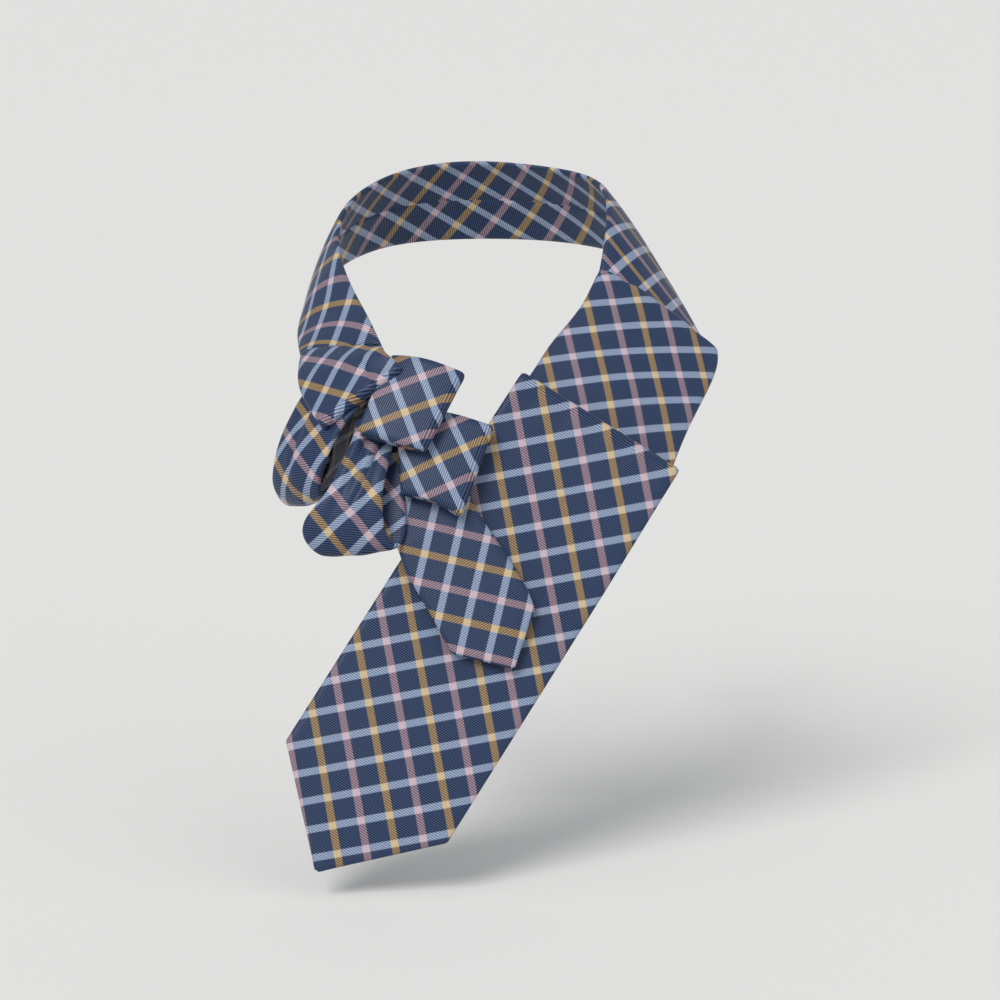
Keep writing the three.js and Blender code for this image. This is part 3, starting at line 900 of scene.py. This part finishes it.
class SCARF_OT_loops(Operator):
    """The two puffed loops: each runs down its front, round its lower fold and up its back"""

    bl_idname = "scarf.loops"
    bl_label = "Loops"

    def execute(self, context):
        bottom = [
            (front(-33.5, -48.5, 4), front(-50, -44, 4)),
            (front(-34.1, -55.5, 7.5), front(-50.4, -50.5, 7.5)),
            (front(-35.6, -64.7, 12), front(-55.6, -63.4, 12)),
            (front(-37.4, -75, 15.3), front(-62, -75.5, 14)),
            (front(-37.3, -85, 15.3), front(-70, -85, 12.5)),
            (front(-35, -93.5, 13.5), front(-70.5, -94, 10)),
            (front(-30.7, -95.6, 10.3), front(-64.5, -98.6, 7)),
            (front(-28, -88, 9), front(-60, -90, 7.5)),
            (front(-28.6, -77, 7.4), front(-56, -78, 7.5)),
            (front(-29.4, -66, 4.5), front(-50, -66, 6)),
            (front(-31, -57, 3.2), front(-46, -58, 3)),
        ]
        left = [
            (front(-36.5, -29.5, 4.5), front(-60, -27, -5)),
            (front(-44.5, -37.5, 8), front(-71, -30, -12)),
            (front(-51.5, -44, 9.5), front(-77, -38, -15.5)),
            (front(-58.3, -53.6, 8.5), front(-82.8, -49.5, -18)),
            (front(-62.8, -63.4, 6.5), front(-86, -62.7, -20)),
            (front(-64.4, -69, 3), front(-85.4, -69, -22)),
            (front(-63.4, -73, -1), front(-80.8, -74.2, -25.5)),
            (front(-60, -69.5, -3.5), front(-76, -69, -27.5)),
            (front(-55, -62.5, -2), front(-72, -58, -28)),
            (front(-51, -52, -0.5), front(-70, -46, -24)),
            (front(-44.5, -41, 0.5), front(-66, -37, -17)),
            (front(-35, -29, 0.5), front(-58, -25, -12)),
        ]

        def swell_bottom(d, u):
            fan = np.exp(-d / 0.026) * np.sin(2 * np.pi * 2.5 * u + 0.6)
            dent = np.exp(-(((u - 0.3 - 4 * d) / 0.05) ** 2) - ((d - 0.02) / 0.018) ** 2)
            return 1.6 * MM * crown(u) + 1.5 * MM * fan - 1.2 * MM * dent

        def swell_left(d, u):
            fan = np.exp(-d / 0.028) * np.sin(2 * np.pi * 2.0 * u + 2.0)
            dent = np.exp(-(((u - 0.72 + 3 * d) / 0.05) ** 2) - ((d - 0.03) / 0.02) ** 2)
            return 2.4 * MM * crown(u) + 1.5 * MM * fan - 1.2 * MM * dent

        step = context.scene.scarf_shape.step * FINE
        pieces = (
            ("loop_bottom", bottom, swell_bottom, 27, (2.9 * MM, 10.1 * MM, -9, 0)),
            ("loop_left", left, swell_left, 34, (3.9 * MM, -0.5 * MM, 2, 0)),
        )
        for name, rows, swell, width, laid in pieces:
            strip = Strip(rows, swell)
            nodes = with_filling(name)
            path = layered_path(strip.run, step)
            flat = (width * MM, strip.run)
            piece = silk_piece(context, name + "_silk", strip, path, nodes, flat, laid=laid)
            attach(piece, "rosette_side")
        return {"FINISHED"}


class SCARF_OT_tail(Operator):
    """The narrow end of the tie, from under the lower petal to its point"""

    bl_idname = "scarf.tail"
    bl_label = "Tail"

    def execute(self, context):
        lift = (TAIL_HINGE - BLADE_ORIGIN) @ FRONT_NORMAL / MM - HALF / MM
        rows = [
            (front(-10, -57.5, lift - 3.2), front(-39, -73, lift - 4.4)),
            (front(-3.5, -70, lift - 1), front(-36, -85, lift - 1.8)),
            (front(3.1, -82.6, lift), front(-31.2, -97.8, lift)),
            (front(10, -92.6, lift), front(-27.6, -107.6, lift)),
            (front(18.2, -104.4, lift), front(-18.9, -121.4, lift)),
            (front(24.2, -114.6, lift), front(-12.6, -132.6, lift)),
            (front(27, -121.6, lift), front(-8.3, -139.8, lift)),
            (front(18.3, -145, lift), front(16.8, -145.8, lift)),
        ]

        def swell(d, u):
            return 0.3 * MM * ripple(d, u * 0.04, 0.05, 61) + 0.4 * MM * crown(u)

        strip = Strip(rows, swell, bent=False)
        path = layered_path(strip.run, context.scene.scarf_shape.step * 0.8)
        nodes = with_filling("tail_root", "tail")
        flat = (39 * MM, strip.run - 11 * MM)
        laid = (-6.7 * MM, 1.5 * MM, -3, 0)
        piece = silk_piece(context, "tail_silk", strip, path, nodes, flat, laid=laid)
        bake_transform(piece)
        return {"FINISHED"}


def thread_tubes(paths, reference, radius, sides=6):
    """Round threads along the paths, an array of (thread, point, 3). Each ring stands square to
    its path, starting from the side that is square to the reference. The ends taper to a blunt
    point."""
    count, steps = paths.shape[:2]
    along = unit(np.gradient(paths, axis=1))
    side = unit(np.cross(along, reference))
    up = np.cross(side, along)
    share = np.linspace(-1, 1, steps)
    thick = radius * np.sqrt(np.clip(1 - np.abs(share) ** (steps * 0.6), 0.08, 1))
    angle = np.linspace(0, 2 * np.pi, sides, endpoint=False)[:, None]
    ring = side[:, :, None] * np.cos(angle) + up[:, :, None] * np.sin(angle)
    points = paths[:, :, None] + thick[None, :, None, None] * ring
    ranges = (np.arange(count), np.arange(steps - 1), np.arange(sides))
    thread, step, j = np.meshgrid(*ranges, indexing="ij")
    start = (thread * steps + step) * sides
    after = (j + 1) % sides
    corners = [start + j, start + after, start + sides + after, start + sides + j]
    faces = np.stack(corners, 3).reshape(-1, 4)
    first = np.arange(count)[:, None] * steps * sides
    last = first + (steps - 1) * sides
    caps = [first + np.array(c) for c in ((3, 2, 1, 0), (5, 4, 3, 0))]
    caps += [last + np.array(c) for c in ((0, 1, 2, 3), (0, 3, 4, 5))]
    faces = np.concatenate([faces, *caps])
    flat = points.reshape(-1, 3)
    return flat, faces, flat[faces][:, :, [0, 2]]


def disc_points(node, bevel, rough):
    """A round flat disc with rounded rims in a CAD node's place: a profile from the middle of the
    front face, round the rim to the middle of the back face, turned round the disc's axis."""
    middle = (node_points(node).max(0) + node_points(node).min(0)) / 2
    low, high = extent(node, FRONT_NORMAL, middle)
    radius = extent(node, BLADE_ACROSS, middle)[1]
    half = (high - low) / 2
    turn = np.radians(np.linspace(90, 0, 5))
    inner = np.linspace(0, radius - bevel, 7)[:-1]
    reach = np.concatenate([inner, radius - bevel + bevel * np.cos(turn)])
    height = np.concatenate([np.full(len(inner), half), half - bevel + bevel * np.sin(turn)])
    reach = np.concatenate([reach, reach[::-1]])
    height = np.concatenate([height, -height[::-1]])
    around_axis = np.linspace(0, 2 * np.pi, 72, endpoint=False)[:, None]
    uneven = 1 + rough * np.sin(7 * around_axis + 1) * np.sin(900 * reach)
    across = reach * np.cos(around_axis)
    along = reach * np.sin(around_axis)
    points = middle + across[:, :, None] * BLADE_ACROSS + along[:, :, None] * BLADE_DOWN
    points = points + (height * uneven)[:, :, None] * FRONT_NORMAL
    sides, rings = points.shape[:2]
    i, j = np.meshgrid(np.arange(sides), np.arange(rings - 1), indexing="ij")
    index = np.arange(sides * rings).reshape(sides, rings)
    index[:, 0], index[:, -1] = 0, rings - 1
    after = (i + 1) % sides
    corners = [index[i, j], index[after, j], index[after, j + 1], index[i, j + 1]]
    faces = np.stack(corners, 2).reshape(-1, 4)
    flat = np.stack([across, along], 2).reshape(-1, 2)
    return points.reshape(-1, 3), faces, flat[faces]


class SCARF_OT_linings(Operator):
    """The satin panel on the back of each point, hemmed, with its bar tack and its slip stitches"""

    bl_idname = "scarf.linings"
    bl_label = "Linings"

    def execute(self, context):
        shape = context.scene.scarf_shape
        satin = plain_cloth_material("satin_lining", (46, 58, 96), 0.0003, 0.4, 0.2)
        cotton = plain_cloth_material("sewing_thread", (70, 88, 134), 0.0004, 0.7, 0.2)
        ends = (
            ("wide_blade", BLADE_DOWN, BLADE_ACROSS, "blade_end", 71),
            ("tail", TAIL_DOWN, TAIL_ACROSS, "tail_end", 72),
        )
        for name, down, across, body, seed in ends:
            node = name + "_lining"
            origin = node_points(node).mean(0)
            top, tip = extent(node, down, origin)
            low, high = extent(node, across, origin)
            back, face = extent(node, FRONT_NORMAL, origin)
            half = (high - low) / 2
            middle = origin + across * (low + high) / 2 + FRONT_NORMAL * (back + face) / 2

            def at(distance, side):
                return middle + down * distance + across * side

            corner = tip - half + 1.5 * MM
            outline = ((top, half), (corner, half), (tip, 1.2 * MM))
            rows = [(at(distance, side), at(distance, -side)) for distance, side in outline]
            knots, sides = np.array(outline).T

            def swell(d, u, knots=knots - top, sides=sides, seed=seed):
                inside = np.interp(d, knots, sides) * (1 - 2 * np.abs(u - 0.5))
                hem = np.clip((5 * MM - np.minimum(inside, d)) / (1 * MM), 0, 1)
                uneven = 0.1 * MM * ripple(d, u * 0.05, 0.02, seed)
                return uneven - 0.25 * MM * hem * hem * (3 - 2 * hem)

            strip = Strip(rows, swell, bent=False)
            path = layered_path(strip.run, shape.step * 0.6)
            points, faces, cloth = strip.build(
                path, 0.3 * MM, 0.5 * MM, shape.columns, blunt=0.4 * MM, seam=False
            )
            panel = make_piece(node + "_satin", points, faces, cloth, satin)
            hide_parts(node)
            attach(panel, body)

            share = np.linspace(0, 1, int(half / (2 * MM)))[:, None]
            out = -FRONT_NORMAL
            starts = []
            for side in (half, -half):
                line = at(corner, side) * (1 - share) + at(tip, 0) * share
                starts.append(line[1:-1])
            starts = np.concatenate(starts)
            bend = np.linspace(0, 1, 7)[None, :, None]
            reach = down * 1.6 * MM + across * 0.5 * MM
            rise = out * (0.2 * MM + 0.3 * MM * np.sin(np.pi * bend))
            stitches = starts[:, None] + reach * (bend - 0.4) + rise
            points, faces, cloth = thread_tubes(stitches, out, 0.13 * MM)
            sewn = make_piece(name + "_slip_stitches", points, faces, cloth, cotton)
            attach(sewn, body)

            tack = name + "_bar_tack"
            centre = (node_points(tack).max(0) + node_points(tack).min(0)) / 2
            length_half = extent(tack, across, centre)[1] - 0.3 * MM
            turns, points_each = 15, 14
            turn = np.linspace(0, 2 * np.pi * turns, turns * points_each)[:, None]
            coil = centre + across * length_half * (turn / turn[-1] * 2 - 1)
            coil = coil + down * 0.55 * MM * np.cos(turn) + FRONT_NORMAL * 0.35 * MM * np.sin(turn)
            points, faces, cloth = thread_tubes(coil[None], across, 0.24 * MM)
            wound = make_piece(tack + "_thread", points, faces, cloth, cotton)
            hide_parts(tack)
            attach(wound, body)
        return {"FINISHED"}


class SCARF_OT_keeper(Operator):
    """The loop of silk across the blade's back"""

    bl_idname = "scarf.keeper"
    bl_label = "Keeper loop"

    def execute(self, context):
        node = "keeper_loop"
        origin = node_points(node).mean(0)
        left, right = extent(node, BLADE_ACROSS, origin)
        high, low = extent(node, BLADE_DOWN, origin)
        back, face = extent(node, FRONT_NORMAL, origin)
        half = 0.5 * MM
        # Each stop is a share of the way across and a depth, from the blade's back (0) to the
        # CAD loop's back (1).
        sewn = [(0, 0), (0.04, 0), (0.08, 0.5), (0.12, 1)]
        stops = sewn + [(0.5, 1.1)] + [(1 - share, depth) for share, depth in sewn[::-1]]
        rows = []
        for share, depth in stops:
            place = origin + BLADE_ACROSS * (left + (right - left) * share)
            place = place + FRONT_NORMAL * (face - half + (back - face + 2 * half) * depth)
            rows.append((place + BLADE_DOWN * high, place + BLADE_DOWN * low))
        strip = Strip(rows)
        path = layered_path(strip.run, context.scene.scarf_shape.step * 0.6)
        flat = (low - high, strip.run)
        thin = {"half": half, "blunt": 0.6 * MM, "seam": False}
        piece = silk_piece(context, "keeper_silk", strip, path, (node,), flat, **thin)
        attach(piece, "collar")
        return {"FINISHED"}


class SCARF_OT_discs(Operator):
    """The felt disc behind the rosette and the two flat magnets"""

    bl_idname = "scarf.discs"
    bl_label = "Felt and magnets"

    def execute(self, context):
        wool = plain_cloth_material("wool_felt", (40, 48, 76), 0.0011, 0.92, 0.4)
        nickel = metal_material()
        discs = (
            ("rosette_backing", wool, "felt", 0.5 * MM, 0.12, "rosette_side"),
            ("magnet_blade", nickel, "magnet", 0.2 * MM, 0.0, "collar"),
            ("magnet_rosette", nickel, "magnet", 0.2 * MM, 0.0, "rosette_side"),
        )
        for node, material, slot, bevel, rough, body in discs:
            points, faces, flat = disc_points(node, bevel, rough)
            disc = make_piece(node + "_disc", points, faces, flat, material)
            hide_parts(node)
            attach(disc, body)
        return {"FINISHED"}


class SCARF_OT_stage(Operator):
    """The camera, the lights, the pale surroundings and the floor"""

    bl_idname = "scarf.stage"
    bl_label = "Stage"

    def execute(self, context):
        scene = context.scene
        scene.view_settings.view_transform = "Standard"
        scene.view_settings.look = "None"

        aim = Vector((12 * MM, -70 * MM, -80 * MM))
        pitch = np.radians(10)
        towards = Vector((0, np.cos(pitch), -np.sin(pitch)))
        data = bpy.data.cameras.new("camera")
        data.lens = 107.64
        data.sensor_width = 36
        data.clip_end = 200
        camera = bpy.data.objects.new("camera", data)
        distance = 1.3
        facing = towards.to_track_quat("-Z", "Y").to_matrix().to_4x4()
        camera.matrix_world = Matrix.Translation(aim - towards * distance) @ facing
        scene.collection.objects.link(camera)
        scene.camera = camera

        world = bpy.data.worlds.new("soft_room")
        world.use_nodes = True
        g = Graph(world.node_tree)
        glow = world.node_tree.nodes["Background"]
        glow.inputs[0].default_value = (0.95, 0.97, 1.0, 1)
        glow.inputs[1].default_value = 0.52
        wall = g.add("ShaderNodeBackground")
        wall.inputs[0].default_value = (*shade(228, 226, 222), 1)
        choice = g.add("ShaderNodeMixShader")
        g.feed(choice.inputs[0], g.add("ShaderNodeLightPath").outputs["Is Camera Ray"])
        g.feed(choice.inputs[1], glow.outputs[0])
        g.feed(choice.inputs[2], wall.outputs[0])
        g.feed(world.node_tree.nodes["World Output"].inputs[0], choice.outputs[0])
        scene.world = world

        lights = (("key", (-0.55, -0.9, 1.0), 1.9, 28), ("fill", (1.0, -0.8, 0.35), 0.45, 60))
        for name, place, power, spread in lights:
            light = bpy.data.lights.new(name, "SUN")
            light.energy = power
            light.angle = np.radians(spread)
            lamp = bpy.data.objects.new(name, light)
            lamp.matrix_world = (-Vector(place)).to_track_quat("-Z", "Y").to_matrix().to_4x4()
            scene.collection.objects.link(lamp)

        low = CAD_BOX[0][2] - 12 * MM
        reach = 80.0  # metres to each side, so that no edge shows
        mesh = bpy.data.meshes.new("floor")
        corners = ((-reach, -reach), (reach, -reach), (reach, reach), (-reach, reach))
        mesh.from_pydata([(x, y, low) for x, y in corners], [], [(0, 1, 2, 3)])
        material, _, shader = new_material("pale_floor")
        shader.inputs["Base Color"].default_value = (0.8, 0.795, 0.77, 1)
        shader.inputs["Roughness"].default_value = 0.9
        mesh.materials.append(material)
        floor = bpy.data.objects.new("floor", mesh)
        scene.collection.objects.link(floor)
        return {"FINISHED"}


PIECE_OPERATORS = (
    SCARF_OT_collar_band,
    SCARF_OT_shoulder_fold,
    SCARF_OT_wide_blade,
    SCARF_OT_left_wrap,
    SCARF_OT_petals,
    SCARF_OT_loops,
    SCARF_OT_tail,
    SCARF_OT_linings,
    SCARF_OT_keeper,
    SCARF_OT_discs,
)


class SCARF_PT_panel(Panel):
    """Lists the scarf's pieces"""

    bl_idname = "SCARF_PT_panel"
    bl_label = "Necktie scarf"
    bl_space_type = "VIEW_3D"
    bl_region_type = "UI"
    bl_category = "Scarf"

    def draw(self, context):
        layout = self.layout
        for name in ScarfCloth.__annotations__:
            layout.prop(context.scene.scarf_cloth, name)
        for name in ScarfShape.__annotations__:
            layout.prop(context.scene.scarf_shape, name)
        for piece in (SCARF_OT_stage, *PIECE_OPERATORS):
            layout.operator(piece.bl_idname)


CLASSES = (ScarfCloth, ScarfShape, SCARF_OT_stage, *PIECE_OPERATORS, SCARF_PT_panel)


def register():
    for each in CLASSES:
        bpy.utils.register_class(each)
    bpy.types.Scene.scarf_cloth = PointerProperty(type=ScarfCloth)
    bpy.types.Scene.scarf_shape = PointerProperty(type=ScarfShape)


def unregister():
    del bpy.types.Scene.scarf_shape
    del bpy.types.Scene.scarf_cloth
    for each in reversed(CLASSES):
        bpy.utils.unregister_class(each)


def main():
    register()
    bpy.ops.scarf.stage()
    for piece in PIECE_OPERATORS:
        group, name = piece.bl_idname.split(".")
        getattr(getattr(bpy.ops, group), name)()


if __name__ == "__main__":
    main()
